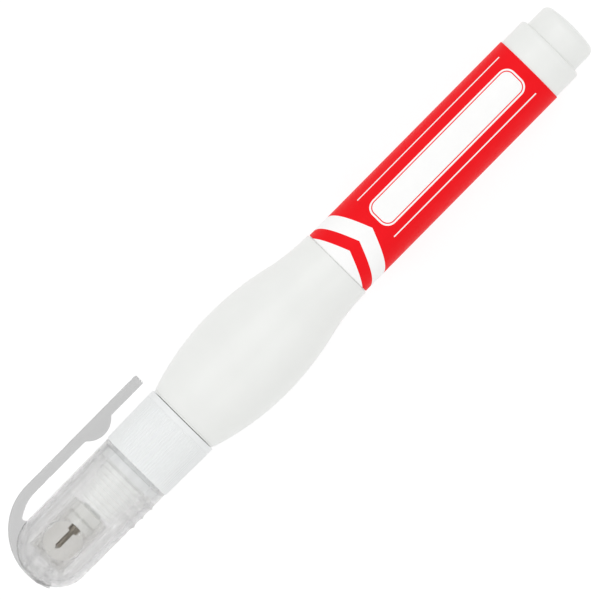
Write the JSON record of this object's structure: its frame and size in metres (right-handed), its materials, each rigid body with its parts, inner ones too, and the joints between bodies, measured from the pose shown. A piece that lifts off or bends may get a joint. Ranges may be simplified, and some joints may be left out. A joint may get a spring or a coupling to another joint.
{
  "type": "correction pen",
  "caption": "Squeeze correction pen with a swollen grip, ribbed screw collar, sprung metal tip and clear clip cap.",
  "frame": {"origin": "On the pen's axis, in the middle of the labelled part of the barrel, at the mount barrel_seat.", "axes": "+X runs along the pen from the cap to the tail, +Y towards the pocket clip, +Z out of the cap's window."},
  "size_m": [0.13, 0.0202, 0.0188],
  "materials": {
    "bottle_white": "satin moulded white",
    "label_film": "printed film, red with white panels",
    "collar_white": "satin white, fine ribs",
    "nozzle_white": "satin white",
    "tip_steel": "drawn stainless tube",
    "valve_steel": "bright wire",
    "ball_steel": "polished ball",
    "cap_clear": "clear, slightly grey",
    "inner_clear": "clear, slightly hazy"
  },
  "bodies": {
    "pen": {"barrel": "bottle_white", "label_sleeve": "label_film", "screw_collar": "collar_white", "nozzle": "nozzle_white", "metal_tip": "tip_steel", "spring_retainer": "nozzle_white", "valve_spring": "valve_steel"},
    "needle": {"valve_needle": "valve_steel"},
    "ball": {"mixing_ball": "ball_steel"},
    "cap": {"cap_shell": "cap_clear", "inner_cap": "inner_clear"},
    "clip": {"pocket_clip": "cap_clear"}
  },
  "joints": [
    {"name": "cap_pull", "type": "slide", "parent": "pen", "child": "cap", "axis": [-1, 0, 0], "range_m": [0, 0.0342]},
    {"name": "clip_flex", "type": "hinge", "parent": "cap", "child": "clip", "pos_m": [-0.09148, 0.00838, 0], "axis": [0, 0, 1], "range_deg": [0, 6], "stiffness_Nm_per_rad": 0.8},
    {"name": "needle_press", "type": "slide", "parent": "pen", "child": "needle", "axis": [1, 0, 0], "range_m": [0, 0.0004], "stiffness_N_per_m": 500, "deforming": ["valve_spring"]},
    {"name": "ball_roll", "type": "slide", "parent": "pen", "child": "ball", "axis": [-1, 0, 0], "range_m": [0, 0.0796]}
  ]
}
